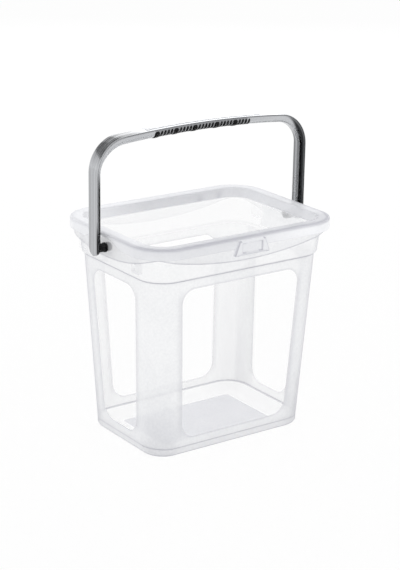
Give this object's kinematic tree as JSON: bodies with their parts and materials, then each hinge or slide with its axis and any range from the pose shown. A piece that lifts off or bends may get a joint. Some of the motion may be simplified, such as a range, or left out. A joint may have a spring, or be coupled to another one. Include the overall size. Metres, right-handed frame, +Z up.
{
  "type": "food storage container with lid and bow handle",
  "caption": "Tapering rectangular food container with clear panes, a press-on lid with a sunk panel and a swinging bow handle with an inlaid grip.",
  "frame": {"origin": "middle of the base, on the surface the container stands on", "axes": "+Z up through the opening, +X to the right seen from the front along the handle's pivot axis, +Y to the back; the lift tab faces -Y"},
  "size_m": [0.2728, 0.1897, 0.3484],
  "materials": {
    "frosted_body": "frosted translucent polypropylene with polished clear panes",
    "frosted_lid": "translucent satin polypropylene with a clear sunk panel",
    "silver_handle": "silver metallic injection-moulded plastic, semi gloss",
    "dark_grip": "black moulded grip, satin",
    "dark_stud": "black moulded snap stud"
  },
  "bodies": {
    "container": {"container": "frosted_body"},
    "lid": {"lid": "frosted_lid"},
    "handle": {"handle": "silver_handle", "grip_insert": "dark_grip", "stud_left": "dark_stud", "stud_right": "dark_stud"}
  },
  "joints": [
    {"name": "handle_swing", "type": "hinge", "parent": "container", "child": "handle", "pos_m": [0, 0, 0.225], "axis": [1, 0, 0], "range_deg": [-130, 130]},
    {"name": "lid_lift", "type": "slide", "parent": "container", "child": "lid", "axis": [0, 0, 1], "range_m": [0, 0.045]}
  ]
}
